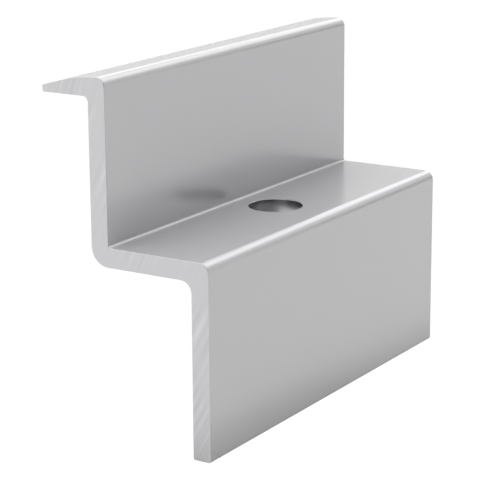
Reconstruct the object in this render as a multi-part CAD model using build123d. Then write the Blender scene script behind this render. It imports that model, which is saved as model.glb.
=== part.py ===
from build123d import *
import os

# Solar end clamp: one length of extruded aluminium Z section with a bolt hole drilled through it.
# The lip bears down on the module frame, the leg stands on the rail beside the frame,
# and a bolt through the web pulls both down. All lengths are in millimetres.
# Origin: the axis of the bolt hole, on the top face of the web where the bolt head bears.
# +X runs from the module to the leg, +Y along the extrusion, +Z up the bolt.

# Grip and overall sizes
FRAME_HEIGHT = 40.0     # module frame that the clamp holds: underside of the lip down to the foot
LENGTH = 53.8           # length that the extrusion is cut to
WIDTH = 15.75           # module-side face of the upright to the outer face of the leg
LEG_HEIGHT = 23.0       # top face of the web down to the foot

# Walls of the section
UPRIGHT_WALL = 2.3
WEB_WALL = 2.3
LEG_WALL = 2.3

# Lip: a taper from a thin tip, then a gently crowned land that carries on over the upright
LIP_REACH = 6.3         # tip of the lip to the upright's module-side face
TIP_THICKNESS = 0.8
LAND_OVERHANG = 2.4     # how far the land reaches over the module before the taper starts
LAND_BACK_THICKNESS = 1.9
LAND_FRONT_THICKNESS = 2.3
LAND_CROWN_RADIUS = 36.0

# Radii of the die
TIP_RADIUS = 0.25
TAPER_BLEND_RADIUS = 6.0
TOP_EDGE_RADIUS = 1.1
LIP_ROOT_RADIUS = 0.7
BOLT_SIDE_RADIUS = 0.3  # in the corner of upright and web, tight so that a bolt head clears it
HEEL_RADIUS = 2.2
SHOULDER_RADIUS = 1.2
LEG_ROOT_RADIUS = 1.4
FOOT_RADIUS = 0.25

# Cutting and drilling
BOLT_DIAMETER = 6.0
BOLT_CLEARANCE = 0.6    # added to the bolt's diameter, a medium clearance hole
HOLE_EDGE_BREAK = 0.12
SAW_EDGE_BREAK = 0.12

# Places worked out from the sizes above, with the hole centred on the width
module_side = -WIDTH / 2
leg_side = WIDTH / 2
upright_front = module_side + UPRIGHT_WALL
leg_inner = leg_side - LEG_WALL
web_underside = -WEB_WALL
foot_level = -LEG_HEIGHT
lip_underside = FRAME_HEIGHT - LEG_HEIGHT
tip_end = module_side - LIP_REACH
land_back = module_side - LAND_OVERHANG
hole_radius = (BOLT_DIAMETER + BOLT_CLEARANCE) / 2

# Corners of the section, as (X, Z)
tip_low = (tip_end, lip_underside)
tip_high = (tip_end, lip_underside + TIP_THICKNESS)
taper_top = (land_back, lip_underside + LAND_BACK_THICKNESS)
top_front = (upright_front, lip_underside + LAND_FRONT_THICKNESS)
bolt_corner = (upright_front, 0.0)
shoulder = (leg_side, 0.0)
foot_outer = (leg_side, foot_level)
foot_inner = (leg_inner, foot_level)
leg_root = (leg_inner, web_underside)
heel = (module_side, web_underside)
lip_root = (module_side, lip_underside)

corner_radii = {
    tip_low: TIP_RADIUS,
    tip_high: TIP_RADIUS,
    taper_top: TAPER_BLEND_RADIUS,
    top_front: TOP_EDGE_RADIUS,
    bolt_corner: BOLT_SIDE_RADIUS,
    shoulder: SHOULDER_RADIUS,
    foot_outer: FOOT_RADIUS,
    foot_inner: FOOT_RADIUS,
    leg_root: LEG_ROOT_RADIUS,
    heel: HEEL_RADIUS,
    lip_root: LIP_ROOT_RADIUS,
}


def z_section():
    """The die's opening at the far end, drawn with sharp corners and then rounded corner by corner."""
    with BuildSketch(Plane.XZ.offset(-LENGTH / 2)) as section:
        with BuildLine():
            Polyline(tip_low, tip_high, taper_top)
            RadiusArc(taper_top, top_front, LAND_CROWN_RADIUS)
            Polyline(
                top_front, bolt_corner, shoulder, foot_outer, foot_inner,
                leg_root, heel, lip_root, tip_low,
            )
        make_face()
        for (x, z), radius in corner_radii.items():
            corner = section.vertices().sort_by_distance((x, z))[0]
            fillet(corner, radius)
    return section.sketch


def clamp_profile():
    """The section extruded along Y, sawn to length, drilled through the web and deburred."""
    bar = extrude(z_section(), amount=LENGTH)
    sawn_ends = bar.faces().filter_by(Axis.Y)
    bar = chamfer(sawn_ends.edges(), SAW_EDGE_BREAK)

    drill = Cylinder(hole_radius, 3 * WEB_WALL)
    clamp = bar - Pos(0, 0, -WEB_WALL / 2) * drill
    bore = clamp.faces().filter_by(GeomType.CYLINDER).filter_by(is_bolt_hole)
    return chamfer(bore.edges().filter_by(GeomType.CIRCLE), HOLE_EDGE_BREAK)


def is_bolt_hole(face):
    """True for the drilled wall, the one round face whose axis stands upright."""
    return abs(face.axis_of_rotation.direction.Z) > 0.99


os.makedirs("parts", exist_ok=True)
export_step(clamp_profile(), "parts/clamp_profile.step")
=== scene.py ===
# Solar end clamp: one short length of extruded aluminium Z section.
# Its lip presses on the edge of a module frame, its leg stands on the rail beside the frame,
# and a bolt through the drilled web pulls both down. It was extruded, anodised, sawn and drilled.
import math

import bpy
from mathutils import Matrix, Vector


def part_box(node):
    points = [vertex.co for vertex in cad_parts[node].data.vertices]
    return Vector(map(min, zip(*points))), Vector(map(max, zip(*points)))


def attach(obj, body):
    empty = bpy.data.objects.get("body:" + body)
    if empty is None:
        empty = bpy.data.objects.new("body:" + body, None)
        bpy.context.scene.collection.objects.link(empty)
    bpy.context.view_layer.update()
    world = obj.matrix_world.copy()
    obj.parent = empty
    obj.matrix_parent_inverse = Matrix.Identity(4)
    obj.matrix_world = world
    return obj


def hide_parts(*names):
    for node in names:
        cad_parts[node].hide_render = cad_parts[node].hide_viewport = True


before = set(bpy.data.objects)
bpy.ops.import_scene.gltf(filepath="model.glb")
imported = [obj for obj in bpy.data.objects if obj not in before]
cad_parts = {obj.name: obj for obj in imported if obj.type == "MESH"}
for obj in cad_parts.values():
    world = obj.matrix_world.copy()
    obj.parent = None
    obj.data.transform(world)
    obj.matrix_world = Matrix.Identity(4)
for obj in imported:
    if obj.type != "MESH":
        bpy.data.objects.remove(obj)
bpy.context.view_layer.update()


# Satin skin of the extrusion
# Every face that slid through the die was etched dull and then anodised clear, before the bar was cut.
# The film scatters part of the light and mirrors the rest, and the die left faint lines along the bar.
MM = 0.001    # a millimetre in Blender's metres
SKIN_COLOUR = "#CECDCF"
SKIN_METALLIC = 0.32            # matched by trial: the film's milky body hides much of the metal
SKIN_ROUGHNESS = 0.2
SKIN_ROUGHNESS_CHANGE = 0.02
DIE_LINE_SPACING = 0.35 * MM    # real lines are nearer 0.05 mm, too fine for the picture
DIE_LINE_LENGTH = 60.0 * MM
DIE_LINE_HEIGHT = 0.00008 * MM
NOISE_RANGE = (0.3, 0.7)        # nearly all values of a noise texture lie in here


def linear(hex_colour):
    """An sRGB hex colour as the linear RGBA that the shaders want."""
    channels = [int(hex_colour[i:i + 2], 16) / 255 for i in (1, 3, 5)]
    return [c / 12.92 if c <= 0.04045 else ((c + 0.055) / 1.055) ** 2.4 for c in channels] + [1.0]


def add_node(tree, kind, settings=None, inputs=None, links=None):
    """Adds a node, sets its properties and socket values, and links its inputs to other nodes."""
    node = tree.nodes.new(kind)
    for name, value in (settings or {}).items():
        setattr(node, name, value)
    for name, value in (inputs or {}).items():
        node.inputs[name].default_value = value
    for name, (source, output) in (links or {}).items():
        tree.links.new(source.outputs[output], node.inputs[name])
    return node


def new_material(name):
    """An empty node material and its tree."""
    material = bpy.data.materials.new(name)
    material.use_nodes = True
    material.node_tree.nodes.clear()
    return material, material.node_tree


def satin_anodised_aluminium():
    """Clear anodised aluminium: a cool light grey, with a soft mirror image over a milky body."""
    material, tree = new_material("satin_anodised_aluminium")
    place = add_node(tree, "ShaderNodeTexCoord")
    lengthwise = add_node(
        tree, "ShaderNodeMapping",
        inputs={"Scale": (1 / DIE_LINE_SPACING, 1 / DIE_LINE_LENGTH, 1 / DIE_LINE_SPACING)},
        links={"Vector": (place, "Object")},
    )
    die_lines = add_node(
        tree, "ShaderNodeTexNoise",
        inputs={"Scale": 1.0, "Detail": 3.0, "Roughness": 0.6},
        links={"Vector": (lengthwise, "Vector")},
    )
    roughness = add_node(
        tree, "ShaderNodeMapRange",
        inputs={
            "From Min": NOISE_RANGE[0],
            "From Max": NOISE_RANGE[1],
            "To Min": SKIN_ROUGHNESS - SKIN_ROUGHNESS_CHANGE,
            "To Max": SKIN_ROUGHNESS + SKIN_ROUGHNESS_CHANGE,
        },
        links={"Value": (die_lines, "Fac")},
    )
    relief = add_node(
        tree, "ShaderNodeBump",
        inputs={"Strength": 1.0, "Distance": DIE_LINE_HEIGHT},
        links={"Height": (die_lines, "Fac")},
    )
    metal = add_node(
        tree, "ShaderNodeBsdfPrincipled",
        inputs={"Base Color": linear(SKIN_COLOUR), "Metallic": SKIN_METALLIC},
        links={"Roughness": (roughness, "Result"), "Normal": (relief, "Normal")},
    )
    add_node(tree, "ShaderNodeOutputMaterial", links={"Surface": (metal, "BSDF")})
    return material


# Sawn ends
# A circular saw parted the bar, so both end faces are bare metal. Its teeth left shallow arcs that
# run up across the section, plain to see in some patches and polished away by the blade in others.
SAWN_DARK_COLOUR = "#C9C9CB"
SAWN_PALE_COLOUR = "#E1E0E2"
SAWN_METALLIC = 0.6              # matched by trial: the torn surface scatters the rest of the light
SAWN_ROUGHNESS = 0.42
SAWN_ROUGHNESS_CHANGE = 0.06
SAW_CENTRE = (-160.0 * MM, 75.0 * MM)    # X and Z of the saw's axle when it met the bar
SAW_MARK_SPACING = 0.9 * MM
SAW_MARK_HEIGHT = 0.004 * MM
SAW_PATCH_SIZE = 9.0 * MM
SAW_PATCH_EDGE = (0.45, 0.60)    # patch noise where the marks start to show, and where they are full
FAINTEST_MARKS = 0.1             # what is left of them where the blade polished them away
FULL_TONE_DEPTH = 0.18           # depth in the mark noise that changes the tone as far as it goes
FULL_ROUGHNESS_DEPTH = 0.25      # and the depth that does so with the roughness


def sawn_aluminium():
    """Bare saw-cut aluminium: paler and duller than the skin, with the blade's arcs in patches."""
    material, tree = new_material("sawn_aluminium")
    place = add_node(tree, "ShaderNodeTexCoord")
    from_axle = add_node(
        tree, "ShaderNodeMapping",
        inputs={"Location": (-SAW_CENTRE[0], 0.0, -SAW_CENTRE[1]), "Scale": (1.0, 0.0, 1.0)},
        links={"Vector": (place, "Object")},
    )
    radius = add_node(
        tree, "ShaderNodeVectorMath", settings={"operation": "LENGTH"},
        links={0: (from_axle, "Vector")},
    )
    arcs = add_node(
        tree, "ShaderNodeTexNoise", settings={"noise_dimensions": "1D"},
        inputs={"Scale": 1 / SAW_MARK_SPACING, "Detail": 4.0, "Roughness": 0.55},
        links={"W": (radius, "Value")},
    )
    patches = add_node(
        tree, "ShaderNodeTexNoise",
        inputs={"Scale": 1 / SAW_PATCH_SIZE, "Detail": 1.0},
        links={"Vector": (place, "Object")},
    )
    plain_to_marked = add_node(
        tree, "ShaderNodeMapRange",
        inputs={"From Min": SAW_PATCH_EDGE[0], "From Max": SAW_PATCH_EDGE[1], "To Min": FAINTEST_MARKS},
        links={"Value": (patches, "Fac")},
    )
    depth = add_node(
        tree, "ShaderNodeMath", settings={"operation": "SUBTRACT"},
        inputs={1: 0.5}, links={0: (arcs, "Fac")},
    )
    marks = add_node(
        tree, "ShaderNodeMath", settings={"operation": "MULTIPLY"},
        links={0: (depth, "Value"), 1: (plain_to_marked, "Result")},
    )
    tone = add_node(
        tree, "ShaderNodeMapRange",
        inputs={"From Min": -FULL_TONE_DEPTH, "From Max": FULL_TONE_DEPTH},
        links={"Value": (marks, "Value")},
    )
    colour = add_node(
        tree, "ShaderNodeMix", settings={"data_type": "RGBA"},
        inputs={"A": linear(SAWN_DARK_COLOUR), "B": linear(SAWN_PALE_COLOUR)},
        links={"Factor": (tone, "Result")},
    )
    roughness = add_node(
        tree, "ShaderNodeMapRange",
        inputs={
            "From Min": -FULL_ROUGHNESS_DEPTH,
            "From Max": FULL_ROUGHNESS_DEPTH,
            "To Min": SAWN_ROUGHNESS - SAWN_ROUGHNESS_CHANGE,
            "To Max": SAWN_ROUGHNESS + SAWN_ROUGHNESS_CHANGE,
        },
        links={"Value": (marks, "Value")},
    )
    relief = add_node(
        tree, "ShaderNodeBump",
        inputs={"Strength": 1.0, "Distance": SAW_MARK_HEIGHT},
        links={"Height": (marks, "Value")},
    )
    metal = add_node(
        tree, "ShaderNodeBsdfPrincipled",
        inputs={"Metallic": SAWN_METALLIC},
        links={
            "Base Color": (colour, "Result"),
            "Roughness": (roughness, "Result"),
            "Normal": (relief, "Normal"),
        },
    )
    add_node(tree, "ShaderNodeOutputMaterial", links={"Surface": (metal, "BSDF")})
    return material


# Bolt hole
# A 6.6 mm twist drill went straight down through the web, which clears an M6 bolt.
# The wall is bare metal with fine level rings from the drill's feed, and its two edges are just broken.
HOLE_DIAMETER = 6.6 * MM
HOLE_FACETS = 128
DRILLED_COLOUR = "#B8B7BA"
DRILLED_ROUGHNESS = 0.28
FEED_RING_SPACING = 0.12 * MM
FEED_RING_HEIGHT = 0.001 * MM


def drilled_aluminium():
    """Bare drilled aluminium: greyer than the skin, with a blurred image of the light below."""
    material, tree = new_material("drilled_aluminium")
    place = add_node(tree, "ShaderNodeTexCoord")
    height = add_node(tree, "ShaderNodeSeparateXYZ", links={"Vector": (place, "Object")})
    rings = add_node(
        tree, "ShaderNodeTexNoise", settings={"noise_dimensions": "1D"},
        inputs={"Scale": 1 / FEED_RING_SPACING, "Detail": 2.0},
        links={"W": (height, "Z")},
    )
    relief = add_node(
        tree, "ShaderNodeBump",
        inputs={"Strength": 1.0, "Distance": FEED_RING_HEIGHT},
        links={"Height": (rings, "Fac")},
    )
    metal = add_node(
        tree, "ShaderNodeBsdfPrincipled",
        inputs={"Base Color": linear(DRILLED_COLOUR), "Metallic": 1.0, "Roughness": DRILLED_ROUGHNESS},
        links={"Normal": (relief, "Normal")},
    )
    add_node(tree, "ShaderNodeOutputMaterial", links={"Surface": (metal, "BSDF")})
    return material


# Z section
# The bar has one outline all along it: a tapered lip, an upright, a web and a leg, rounded by the die.
# The outline is drawn as sharp corners with a radius each; the tree rounds them, sweeps them along Y,
# cuts the bolt hole and gives each face the finish of how it was made.
WALL = 2.3 * MM
FRAME_HEIGHT = 40.0 * MM
LIP_REACH = 6.3 * MM
TIP_THICKNESS = 0.8 * MM
LAND_OVERHANG = 2.4 * MM
LAND_BACK_THICKNESS = 1.9 * MM
LAND_FRONT_THICKNESS = 2.3 * MM
LAND_CROWN_RADIUS = 36.0 * MM
LAND_CHORDS = 4
TIP_RADIUS = 0.25 * MM
TAPER_BLEND_RADIUS = 6.0 * MM
TOP_EDGE_RADIUS = 1.1 * MM
BOLT_SIDE_RADIUS = 0.3 * MM
SHOULDER_RADIUS = 1.2 * MM
FOOT_RADIUS = 0.25 * MM
LEG_ROOT_RADIUS = 1.4 * MM
HEEL_RADIUS = 2.2 * MM
LIP_ROOT_RADIUS = 0.7 * MM
FILLET_STEPS = 10
EDGE_BREAK = 0.06 * MM
EDGE_BREAK_STEPS = 3
SHARPEST_DIE_TURN = math.radians(60)    # edges that turn more than this were cut, and then deburred
END_FACING = 0.99                       # how squarely a face has to look along the bar to be an end

low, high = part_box("clamp_profile")
tip_x = low.x
module_x = tip_x + LIP_REACH
leg_x = high.x
foot_z = low.z
lip_z = foot_z + FRAME_HEIGHT


def crowned_land(start, end, radius, chords):
    """Points of a shallow arc bulging upwards between two corners of the outline, without its ends."""
    start, end = Vector(start), Vector(end)
    chord = end - start
    middle = (start + end) / 2
    normal = Vector((-chord.y, chord.x)).normalized()
    centre = middle - normal * math.sqrt(radius ** 2 - chord.length_squared / 4)
    first = math.atan2(start.y - centre.y, start.x - centre.x)
    last = math.atan2(end.y - centre.y, end.x - centre.x)
    turns = [first + (last - first) * i / chords for i in range(1, chords)]
    return [(centre.x + radius * math.cos(t), centre.y + radius * math.sin(t)) for t in turns]


land_back = (module_x - LAND_OVERHANG, lip_z + LAND_BACK_THICKNESS)
land_front = (module_x + WALL, lip_z + LAND_FRONT_THICKNESS)
outline = [
    ((tip_x, lip_z), TIP_RADIUS),
    ((tip_x, lip_z + TIP_THICKNESS), TIP_RADIUS),
    (land_back, TAPER_BLEND_RADIUS),
    *[(point, 0.0) for point in crowned_land(land_back, land_front, LAND_CROWN_RADIUS, LAND_CHORDS)],
    (land_front, TOP_EDGE_RADIUS),
    ((module_x + WALL, 0.0), BOLT_SIDE_RADIUS),
    ((leg_x, 0.0), SHOULDER_RADIUS),
    ((leg_x, foot_z), FOOT_RADIUS),
    ((leg_x - WALL, foot_z), FOOT_RADIUS),
    ((leg_x - WALL, -WALL), LEG_ROOT_RADIUS),
    ((module_x, -WALL), HEEL_RADIUS),
    ((module_x, lip_z), LIP_ROOT_RADIUS),
]


def outline_mesh(corners):
    """The sharp outline as a loop of edges, flat in XY, with each corner's radius on its vertex."""
    mesh = bpy.data.meshes.new("clamp_outline")
    count = len(corners)
    points = [(x, -z, 0.0) for (x, z), _ in corners]
    mesh.from_pydata(points, [(i, (i + 1) % count) for i in range(count)], [])
    radii = mesh.attributes.new("corner_radius", "FLOAT", "POINT")
    radii.data.foreach_set("value", [radius for _, radius in corners])
    return mesh


def extrusion_tree():
    """Geometry nodes that round, sweep, drill and finish the bar."""
    tree = bpy.data.node_groups.new("z_extrusion", "GeometryNodeTree")
    sockets = [
        ("Outline", "NodeSocketGeometry"),
        ("Length", "NodeSocketFloat"),
        ("Fillet Steps", "NodeSocketInt"),
        ("Hole Diameter", "NodeSocketFloat"),
        ("Hole Facets", "NodeSocketInt"),
        ("Skin", "NodeSocketMaterial"),
        ("Drilled", "NodeSocketMaterial"),
        ("Sawn", "NodeSocketMaterial"),
    ]
    for name, kind in sockets:
        tree.interface.new_socket(name, in_out="INPUT", socket_type=kind)
    tree.interface.new_socket("Clamp", in_out="OUTPUT", socket_type="NodeSocketGeometry")
    given = add_node(tree, "NodeGroupInput")

    loop = add_node(tree, "GeometryNodeMeshToCurve", links={"Mesh": (given, "Outline")})
    radius = add_node(
        tree, "GeometryNodeInputNamedAttribute", settings={"data_type": "FLOAT"},
        inputs={"Name": "corner_radius"},
    )
    rounded = add_node(
        tree, "GeometryNodeFilletCurve", settings={"mode": "POLY"},
        links={
            "Curve": (loop, "Curve"),
            "Count": (given, "Fillet Steps"),
            "Radius": (radius, "Attribute"),
        },
    )

    far_end = add_node(
        tree, "ShaderNodeMath", settings={"operation": "MULTIPLY"},
        inputs={1: 0.5}, links={0: (given, "Length")},
    )
    near_end = add_node(
        tree, "ShaderNodeMath", settings={"operation": "MULTIPLY"},
        inputs={1: -0.5}, links={0: (given, "Length")},
    )
    start = add_node(tree, "ShaderNodeCombineXYZ", links={"Y": (near_end, "Value")})
    end = add_node(tree, "ShaderNodeCombineXYZ", links={"Y": (far_end, "Value")})
    path = add_node(
        tree, "GeometryNodeCurvePrimitiveLine",
        links={"Start": (start, "Vector"), "End": (end, "Vector")},
    )
    bar = add_node(
        tree, "GeometryNodeCurveToMesh", inputs={"Fill Caps": True},
        links={"Curve": (path, "Curve"), "Profile Curve": (rounded, "Curve")},
    )
    skinned = add_node(
        tree, "GeometryNodeSetMaterial", links={"Geometry": (bar, "Mesh"), "Material": (given, "Skin")},
    )

    # The drill reaches a hole's diameter above and below the web's top, right through the wall.
    hole_radius = add_node(
        tree, "ShaderNodeMath", settings={"operation": "MULTIPLY"},
        inputs={1: 0.5}, links={0: (given, "Hole Diameter")},
    )
    drill_end = add_node(tree, "ShaderNodeCombineXYZ", links={"Z": (given, "Hole Diameter")})
    drill_start = add_node(
        tree, "ShaderNodeVectorMath", settings={"operation": "SCALE"},
        inputs={"Scale": -1.0}, links={0: (drill_end, "Vector")},
    )
    drill_path = add_node(
        tree, "GeometryNodeCurvePrimitiveLine",
        links={"Start": (drill_start, "Vector"), "End": (drill_end, "Vector")},
    )
    drill_outline = add_node(
        tree, "GeometryNodeCurvePrimitiveCircle",
        links={"Resolution": (given, "Hole Facets"), "Radius": (hole_radius, "Value")},
    )
    drill = add_node(
        tree, "GeometryNodeCurveToMesh", inputs={"Fill Caps": True},
        links={"Curve": (drill_path, "Curve"), "Profile Curve": (drill_outline, "Curve")},
    )
    bright_drill = add_node(
        tree, "GeometryNodeSetMaterial",
        links={"Geometry": (drill, "Mesh"), "Material": (given, "Drilled")},
    )
    drilled = add_node(
        tree, "GeometryNodeMeshBoolean", settings={"operation": "DIFFERENCE", "solver": "MANIFOLD"},
        links={"Mesh 1": (skinned, "Geometry"), "Mesh 2": (bright_drill, "Geometry")},
    )
    smooth = add_node(tree, "GeometryNodeSetShadeSmooth", links={"Geometry": (drilled, "Mesh")})

    # Some faces of the bore look along the bar too, so an end is also further out than the hole.
    facing = add_node(tree, "GeometryNodeInputNormal")
    facing_parts = add_node(tree, "ShaderNodeSeparateXYZ", links={"Vector": (facing, "Normal")})
    along = add_node(
        tree, "ShaderNodeMath", settings={"operation": "ABSOLUTE"}, links={0: (facing_parts, "Y")},
    )
    place = add_node(tree, "GeometryNodeInputPosition")
    place_parts = add_node(tree, "ShaderNodeSeparateXYZ", links={"Vector": (place, "Position")})
    from_middle = add_node(
        tree, "ShaderNodeMath", settings={"operation": "ABSOLUTE"}, links={0: (place_parts, "Y")},
    )
    outside_hole = add_node(
        tree, "FunctionNodeCompare", settings={"operation": "GREATER_THAN"},
        links={"A": (from_middle, "Value"), "B": (hole_radius, "Value")},
    )
    faces_along = add_node(
        tree, "FunctionNodeCompare", settings={"operation": "GREATER_THAN"},
        inputs={"B": END_FACING}, links={"A": (along, "Value")},
    )
    is_end = add_node(
        tree, "FunctionNodeBooleanMath", settings={"operation": "AND"},
        links={0: (faces_along, "Result"), 1: (outside_hole, "Result")},
    )
    real = add_node(tree, "GeometryNodeRealizeInstances", links={"Geometry": (smooth, "Geometry")})
    sawn = add_node(
        tree, "GeometryNodeSetMaterial",
        links={
            "Geometry": (real, "Geometry"),
            "Selection": (is_end, "Boolean"),
            "Material": (given, "Sawn"),
        },
    )
    add_node(tree, "NodeGroupOutput", links={"Clamp": (sawn, "Geometry")})
    return tree


def set_input(modifier, name, value):
    """Sets a geometry nodes modifier's input by the identifier of its socket."""
    sockets = modifier.node_group.interface.items_tree
    socket = next(s for s in sockets if s.in_out == "INPUT" and s.name == name)
    modifier[socket.identifier] = value


scene = bpy.context.scene


def baked(obj, name):
    """The object's evaluated shape as a plain mesh object, with the source object taken away."""
    depsgraph = bpy.context.evaluated_depsgraph_get()
    mesh = bpy.data.meshes.new_from_object(
        obj.evaluated_get(depsgraph), preserve_all_data_layers=True, depsgraph=depsgraph,
    )
    mesh.name = name
    bpy.data.objects.remove(obj)
    plain = bpy.data.objects.new(name, mesh)
    scene.collection.objects.link(plain)
    return plain


blank = bpy.data.objects.new("clamp_blank", outline_mesh(outline))
scene.collection.objects.link(blank)
extrude = blank.modifiers.new("extrude_and_drill", "NODES")
extrude.node_group = extrusion_tree()
set_input(extrude, "Length", high.y - low.y)
set_input(extrude, "Fillet Steps", FILLET_STEPS)
set_input(extrude, "Hole Diameter", HOLE_DIAMETER)
set_input(extrude, "Hole Facets", HOLE_FACETS)
set_input(extrude, "Skin", satin_anodised_aluminium())
set_input(extrude, "Drilled", drilled_aluminium())
set_input(extrude, "Sawn", sawn_aluminium())

deburr = blank.modifiers.new("deburr", "BEVEL")
deburr.width = EDGE_BREAK
deburr.segments = EDGE_BREAK_STEPS
deburr.limit_method = "ANGLE"
deburr.angle_limit = SHARPEST_DIE_TURN
deburr.use_clamp_overlap = False    # the short sides of the fillets would hold it back

flat_faces = blank.modifiers.new("flat_faces_stay_flat", "WEIGHTED_NORMAL")
flat_faces.mode = "FACE_AREA"
flat_faces.weight = 100    # the larger face sets the normal outright
flat_faces.keep_sharp = False

clamp = baked(blank, "end_clamp")
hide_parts("clamp_profile")
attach(clamp, "root")


# Floor
# A wide pale sheet lies well below the clamp, which hangs where its bolt would hold it.
# To the camera and in mirror images it is nearly white, and it still takes some of the clamp's shadow.
FLOOR_DROP = 60.0 * MM
FLOOR_SIZE = 12.0
FLOOR_COLOUR = "#F7F7F7"
FLOOR_WHITENING = 0.85


def flat_card(name, centre, across, upward, width, height):
    """A flat rectangle round a centre, whose sides run along two directions."""
    sideways = Vector(across).normalized() * width / 2
    upright = Vector(upward).normalized() * height / 2
    middle = Vector(centre)
    corners = [
        middle - sideways - upright, middle + sideways - upright,
        middle + sideways + upright, middle - sideways + upright,
    ]
    mesh = bpy.data.meshes.new(name)
    mesh.from_pydata(corners, [], [(0, 1, 2, 3)])
    card = bpy.data.objects.new(name, mesh)
    scene.collection.objects.link(card)
    return card


def seen_directly(tree):
    """Is 1 for camera, glossy and transmission rays, and 0 for the rays that light a scene."""
    rays = add_node(tree, "ShaderNodeLightPath")
    direct = add_node(
        tree, "ShaderNodeMath", settings={"operation": "MAXIMUM"},
        links={0: (rays, "Is Camera Ray"), 1: (rays, "Is Glossy Ray")},
    )
    return add_node(
        tree, "ShaderNodeMath", settings={"operation": "MAXIMUM"},
        links={0: (direct, "Value"), 1: (rays, "Is Transmission Ray")},
    )


def matt_white_floor():
    """A white paper sweep: matt, and lit up to white wherever it is looked at."""
    material, tree = new_material("matt_white_floor")
    seen = seen_directly(tree)
    whitening = add_node(
        tree, "ShaderNodeMath", settings={"operation": "MULTIPLY"},
        inputs={1: FLOOR_WHITENING}, links={0: (seen, "Value")},
    )
    paper = add_node(tree, "ShaderNodeBsdfDiffuse", inputs={"Color": linear(FLOOR_COLOUR)})
    white = add_node(tree, "ShaderNodeEmission", inputs={"Color": linear("#FFFFFF"), "Strength": 1.0})
    surface = add_node(
        tree, "ShaderNodeMixShader",
        links={0: (whitening, "Value"), 1: (paper, "BSDF"), 2: (white, "Emission")},
    )
    add_node(tree, "ShaderNodeOutputMaterial", links={"Surface": (surface, "Shader")})
    return material


floor = flat_card(
    "floor", (0.0, 0.0, foot_z - FLOOR_DROP), (1, 0, 0), (0, 1, 0), FLOOR_SIZE, FLOOR_SIZE,
)
floor.data.materials.append(matt_white_floor())


# Room and soft boxes
# A white room all round gives a plain even light. A wide soft box above and behind the lip lights what
# faces up, a smaller one past the leg brightens the rounded edges, and the land mirrors a low strip.
# Their places and strengths were matched by trial to the tones on the clamp.
ROOM_STRENGTH = 1.0
BOX_DISTANCE = 0.80
TOP_BOX_AZIMUTH = 173.0
TOP_BOX_ELEVATION = 64.0
TOP_BOX_WIDTH = 1.71
TOP_BOX_HEIGHT = 1.0
TOP_BOX_BRIGHTNESS = 0.9
SIDE_BOX_AZIMUTH = 72.0
SIDE_BOX_ELEVATION = 42.0
SIDE_BOX_WIDTH = 0.59
SIDE_BOX_HEIGHT = 0.32
SIDE_BOX_BRIGHTNESS = 1.16
BACK_BOX_AZIMUTH = 122.0
BACK_BOX_ELEVATION = 28.0
BACK_BOX_WIDTH = 1.0
BACK_BOX_HEIGHT = 0.16
BACK_BOX_BRIGHTNESS = 1.25

world = bpy.data.worlds.new("white_room")
world.use_nodes = True
world.node_tree.nodes.clear()
room = add_node(
    world.node_tree, "ShaderNodeBackground",
    inputs={"Color": linear("#FFFFFF"), "Strength": ROOM_STRENGTH},
)
add_node(world.node_tree, "ShaderNodeOutputWorld", links={"Surface": (room, "Background")})
scene.world = world


def direction(azimuth, elevation):
    """The unit vector at an azimuth from +X towards +Y and an elevation, both in degrees."""
    turn, rise = math.radians(azimuth), math.radians(elevation)
    return Vector((math.cos(rise) * math.cos(turn), math.cos(rise) * math.sin(turn), math.sin(rise)))


def soft_box(name, azimuth, elevation, width, height, brightness):
    """A rectangular lamp that faces the clamp, so many times as bright as white, unseen by the camera."""
    lamp_data = bpy.data.lights.new(name, "AREA")
    lamp_data.shape = "RECTANGLE"
    lamp_data.size = width
    lamp_data.size_y = height
    lamp_data.energy = brightness * math.pi * width * height
    lamp = bpy.data.objects.new(name, lamp_data)
    towards_lamp = direction(azimuth, elevation)
    lamp.location = towards_lamp * BOX_DISTANCE
    lamp.rotation_euler = towards_lamp.to_track_quat("Z", "Y").to_euler()
    lamp.visible_camera = False
    scene.collection.objects.link(lamp)


soft_box(
    "top_box", TOP_BOX_AZIMUTH, TOP_BOX_ELEVATION,
    TOP_BOX_WIDTH, TOP_BOX_HEIGHT, TOP_BOX_BRIGHTNESS,
)
soft_box(
    "side_box", SIDE_BOX_AZIMUTH, SIDE_BOX_ELEVATION,
    SIDE_BOX_WIDTH, SIDE_BOX_HEIGHT, SIDE_BOX_BRIGHTNESS,
)
soft_box(
    "back_box", BACK_BOX_AZIMUTH, BACK_BOX_ELEVATION,
    BACK_BOX_WIDTH, BACK_BOX_HEIGHT, BACK_BOX_BRIGHTNESS,
)


# Cards
# A dark and a pale card stand on the web's level. Their images darken the foot of the upright and the web.
# A third, below, holds a painted shadow: black under the web to shade the hole, fading to white past the
# leg's foot.
DARK_CARD_AZIMUTH = -25.0
DARK_CARD_DISTANCE = 0.30
DARK_CARD_WIDTH = 1.45
DARK_CARD_HEIGHT = 0.54
DARK_CARD_COLOUR = "#101010"
PALE_CARD_AZIMUTH = 104.0
PALE_CARD_DISTANCE = 0.50
PALE_CARD_WIDTH = 1.1
PALE_CARD_HEIGHT = 0.16
PALE_CARD_COLOUR = "#DADADA"
UNDER_CARD_DROP = 6.0 * MM
UNDER_CARD_START = -56.0 * MM
UNDER_CARD_DARK_UNTIL = 4.0 * MM
UNDER_CARD_PALE_FROM = 23.5 * MM
UNDER_CARD_NEAR = -38.0 * MM
UNDER_CARD_FAR = 60.0 * MM


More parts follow.
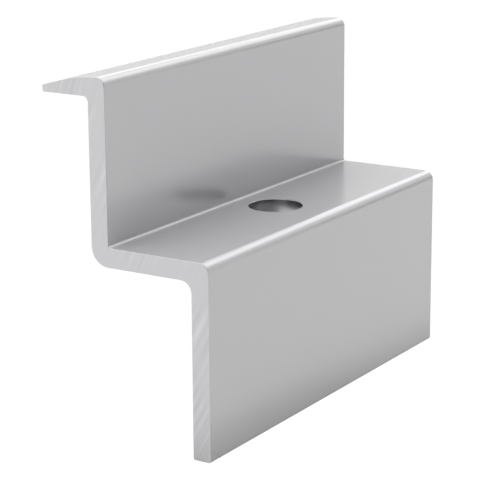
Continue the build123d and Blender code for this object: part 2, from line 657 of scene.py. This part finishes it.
def standing_card(name, azimuth, distance, width, height, colour):
    """A matt card that stands level with the bolt hole and faces the clamp, unseen by the camera."""
    centre = direction(azimuth, 0.0) * distance + Vector((0.0, 0.0, height / 2))
    card = flat_card(name, centre, direction(azimuth + 90.0, 0.0), (0, 0, 1), width, height)
    paper, tree = new_material("matt_" + name)
    matt = add_node(tree, "ShaderNodeBsdfDiffuse", inputs={"Color": linear(colour)})
    add_node(tree, "ShaderNodeOutputMaterial", links={"Surface": (matt, "BSDF")})
    card.data.materials.append(paper)
    card.visible_camera = False


standing_card(
    "dark_card", DARK_CARD_AZIMUTH, DARK_CARD_DISTANCE,
    DARK_CARD_WIDTH, DARK_CARD_HEIGHT, DARK_CARD_COLOUR,
)
standing_card(
    "pale_card", PALE_CARD_AZIMUTH, PALE_CARD_DISTANCE,
    PALE_CARD_WIDTH, PALE_CARD_HEIGHT, PALE_CARD_COLOUR,
)


def painted_shadow_card():
    """Matt card with a painted shadow: black under the hole, where the clamp's own shadow would fall,
    fading to white beyond the leg.
    """
    material, tree = new_material("matt_graded_card")
    place = add_node(tree, "ShaderNodeTexCoord")
    across = add_node(tree, "ShaderNodeSeparateXYZ", links={"Vector": (place, "Object")})
    shadow_fade = add_node(
        tree, "ShaderNodeMapRange",
        inputs={"From Min": UNDER_CARD_DARK_UNTIL, "From Max": UNDER_CARD_PALE_FROM},
        links={"Value": (across, "X")},
    )
    # Painted shadow: the dark card's colour under the web, fading to the floor's white past the leg.
    painted_shadow_colour = add_node(
        tree, "ShaderNodeMix", settings={"data_type": "RGBA"},
        inputs={"A": linear(DARK_CARD_COLOUR), "B": linear(FLOOR_COLOUR)},
        links={"Factor": (shadow_fade, "Result")},
    )
    paper = add_node(tree, "ShaderNodeBsdfDiffuse", links={"Color": (painted_shadow_colour, "Result")})
    add_node(tree, "ShaderNodeOutputMaterial", links={"Surface": (paper, "BSDF")})
    return material


# This card holds the painted shadow, which darkens the hole and the leg's foot in their mirror images.
under_card = flat_card(
    "under_card",
    (
        (UNDER_CARD_START + UNDER_CARD_PALE_FROM) / 2,
        (UNDER_CARD_NEAR + UNDER_CARD_FAR) / 2,
        foot_z - UNDER_CARD_DROP,
    ),
    (1, 0, 0), (0, 1, 0),
    UNDER_CARD_PALE_FROM - UNDER_CARD_START, UNDER_CARD_FAR - UNDER_CARD_NEAR,
)
under_card.data.materials.append(painted_shadow_card())
under_card.visible_camera = False


# Camera
# It stands off the near end on the leg's side, a little above the clamp, and aims just under the web.
# The values are fitted to the clamp's edges, so they aren't round numbers.
CAMERA_AZIMUTH = math.radians(32.484)    # from straight in front of the near end, towards the leg's side
CAMERA_ELEVATION = math.radians(14.665)
CAMERA_ROLL = math.radians(-0.429)
CAMERA_DISTANCE = 230.44 * MM
CAMERA_AIM = Vector((-2.278, -4.544, -3.643)) * MM    # from the hole's centre
FOCAL_PIXELS = 1902.4
PICTURE_PIXELS = 480
SENSOR_WIDTH = 36.0
NEAREST_SEEN = 10.0 * MM

back = Vector((
    math.sin(CAMERA_AZIMUTH) * math.cos(CAMERA_ELEVATION),
    -math.cos(CAMERA_AZIMUTH) * math.cos(CAMERA_ELEVATION),
    math.sin(CAMERA_ELEVATION),
))
level_right = Vector((math.cos(CAMERA_AZIMUTH), math.sin(CAMERA_AZIMUTH), 0.0))
level_up = back.cross(level_right)
right = math.cos(CAMERA_ROLL) * level_right + math.sin(CAMERA_ROLL) * level_up
up = math.cos(CAMERA_ROLL) * level_up - math.sin(CAMERA_ROLL) * level_right
stand = CAMERA_AIM + back * CAMERA_DISTANCE

camera_data = bpy.data.cameras.new("camera")
camera_data.sensor_width = SENSOR_WIDTH
camera_data.lens = SENSOR_WIDTH * FOCAL_PIXELS / PICTURE_PIXELS
camera_data.clip_start = NEAREST_SEEN
camera = bpy.data.objects.new("camera", camera_data)
camera.matrix_world = Matrix((
    (right.x, up.x, back.x, stand.x),
    (right.y, up.y, back.y, stand.y),
    (right.z, up.z, back.z, stand.z),
    (0.0, 0.0, 0.0, 1.0),
))
scene.collection.objects.link(camera)
scene.camera = camera
scene.view_settings.view_transform = "Standard"
